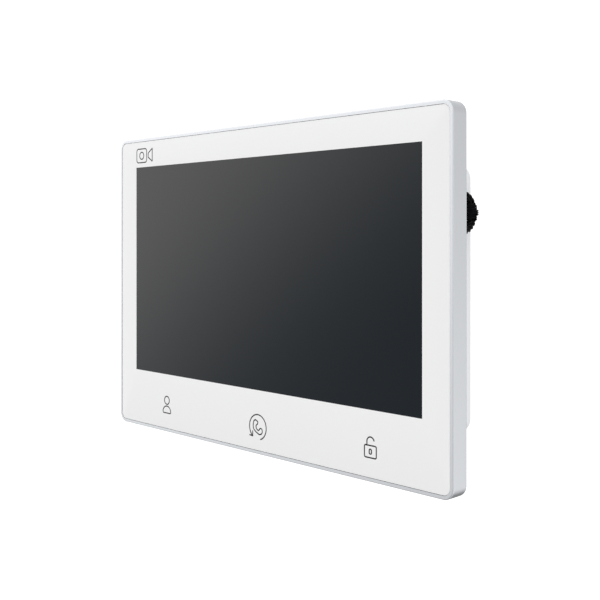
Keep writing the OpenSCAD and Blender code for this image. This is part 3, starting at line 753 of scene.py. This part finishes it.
def make_pictograms():
    """Thin dark outlines on the glass: three keys and a corner mark, each at its place in (x, z)."""
    marks = {
        "person_key": (person_lines(), (-55.5, -49.7)),
        "call_key": (call_lines(), (0.7, -51.0)),
        "lock_key": (lock_lines(), (55.9, -49.5)),
        "corner_mark": (camera_lines(), (-71.2, 53.7)),
    }
    for name, (lines, place) in marks.items():
        strips = [ribbon((line + place) * MM, closed) for line, closed in lines]
        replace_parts(piece_of(name, "grey_print", *strips), "key_icons")


# ---------------------------------------------------------------- tie, plug and grommet

TIE_CORD_R = 0.31 * MM
TIE_WIDTH, TIE_DEPTH, TIE_CORNER = 3.6, 5.5, 1.3
TIE_X, TIE_Y = 85.0, -7.75
# each layer's turns, its lowest and highest point, and how far it lies outside the first layer
TIE_LAYERS = [(8, 24.6, 29.4, 0.0), (3, 26.1, 27.9, 0.45)]


def make_tie():
    """Fine cord wound about the hank's rear side, with a few turns more over its middle.

    A helix of rounded rectangular turns: the outline's point goes round as the height rises.
    """
    layers = []
    for turns, low, high, grow in TIE_LAYERS:
        outline = rounded_outline(TIE_WIDTH + 2 * grow, TIE_DEPTH + grow, TIE_CORNER + grow, 8)
        outline = outline + (TIE_X, TIE_Y + grow / 2)
        loop = resampled(np.vstack([outline, outline[:1]]), 0.3)[:-1]
        x, y = np.tile(loop, (turns, 1)).T
        path = np.column_stack([x, y, np.linspace(low, high, len(x))]) * MM
        layers.append(surface(tube_points(path, TIE_CORD_R), caps=True))
    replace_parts(piece_of("wound_tie", "tie_black", *layers), "lead_tie")


def turned(centre, profile, sides=40):
    """A round surface about an X axis: each row is (place along X, radius) in millimetres."""
    angle = np.linspace(0, math.tau, sides, endpoint=False)
    x, radius = np.array(profile).T[:, :, None]
    rows = np.broadcast_arrays(x, radius * np.cos(angle), radius * np.sin(angle))
    return surface(np.stack(rows, -1) * MM + centre, caps=True, flip=True)


def make_grommet():
    """Rubber grommet: a lip with a soft edge, a waist and a raised ring round the wire."""
    low, high = np.array(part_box("lead_grommet"))
    centre = np.array([0, (low[1] + high[1]) / 2, (low[2] + high[2]) / 2])
    lip = (high[2] - low[2]) / 2 / MM
    inner, outer = low[0] / MM, high[0] / MM
    soft = 0.35
    bends = np.linspace(0, 1.5, 6)
    edge = [(outer - soft + soft * math.sin(a), lip - soft + soft * math.cos(a)) for a in bends]
    face = outer - 0.1
    ring = [(face, lip - 0.9), (face, 1.25), (outer, 1.1), (outer, 0.8), (outer - 0.25, 0.7)]
    profile = [(inner, lip - 0.5), (inner + 0.3, lip), *edge, *ring]
    grommet = crease(piece_of("grommet", "black_rubber", turned(centre, profile)), 40)
    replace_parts(grommet, "lead_grommet")


def make_plug():
    """Two way plug: an outline carried up its length, drawn in at each groove.

    Each station is (share of the height, millimetres outwards): a foot, a latch line, five grip
    grooves and a narrower top.
    """
    low, high = np.array(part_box("lead_plug"))
    centre, size = (low + high) / 2, high - low
    stations = [(0, -0.3), (0.03, 0), (0.3, 0), (0.31, -0.12), (0.34, -0.12), (0.35, 0)]
    for groove in range(5):
        g = 0.62 + 0.05 * groove
        stations += [(g, 0), (g + 0.01, -0.1), (g + 0.03, -0.1), (g + 0.04, 0)]
    stations += [(0.97, 0), (1.0, -0.15)]
    rows = []
    for share, out in stations:
        outline = rounded_outline(size[0] + 2 * out * MM, size[1] + 2 * out * MM, 0.3 * MM, 5)
        z = low[2] + share * (high[2] - low[2])
        rows.append(np.insert(outline + centre[:2], 2, z, axis=1))
    plug = piece_of("plug", "plug_black", surface(np.array(rows), caps=True, flip=True))
    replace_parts(crease(plug, 30), "lead_plug")


# ---------------------------------------------------------------- backdrop

# metres: far enough away to stay behind the monitor from every side
FLOOR_Z, FLOOR_R, DOME_R = -0.45, 7.9, 8


def make_backdrop():
    """A pale floor and a white dome that only the camera sees; the studio's light passes through both.

    The floor is rings of growing radius; the dome's point at rise r and turn t is
    (cos r cos t, cos r sin t, sin r) times its radius.
    """
    pale = Finish("pale_backdrop", Roughness=0.9, Emission_Strength=1.0)
    pale.feed("Base Color", pale.blend(pale.noise(0.2, 2.0), (0.2, 0.2, 0.2), (0.22, 0.22, 0.22)))
    pale.feed("Emission Color", pale.blend(pale.noise(0.2, 2.0), (0.99, 0.99, 0.99), (1.0, 1.0, 1.0)))
    turn = np.linspace(0, math.tau, 48, endpoint=False)
    radius = np.linspace(0.01, FLOOR_R, 12)[:, None]
    floor = np.broadcast_arrays(radius * np.cos(turn), radius * np.sin(turn), FLOOR_Z)
    rise = np.linspace(-1.57, 1.57, 24)[:, None]
    dome = np.broadcast_arrays(np.cos(rise) * np.cos(turn), np.cos(rise) * np.sin(turn), np.sin(rise))
    for name, grid in (("floor", np.stack(floor, -1)), ("dome", DOME_R * np.stack(dome, -1))):
        piece = bpy.data.objects.new(name, mesh_of(name, surface(grid, caps=True)))
        piece.data.materials.append(pale.material)
        bpy.context.scene.collection.objects.link(piece)
        piece.visible_diffuse = False
        piece.visible_glossy = False
        piece.visible_shadow = False
        piece.visible_transmission = False


set_camera()
set_light()
FINISHES = make_finishes()
dress_nodes()
make_grommet()
make_plug()
make_tie()
make_lead()
make_glass()
make_pictograms()
make_backdrop()
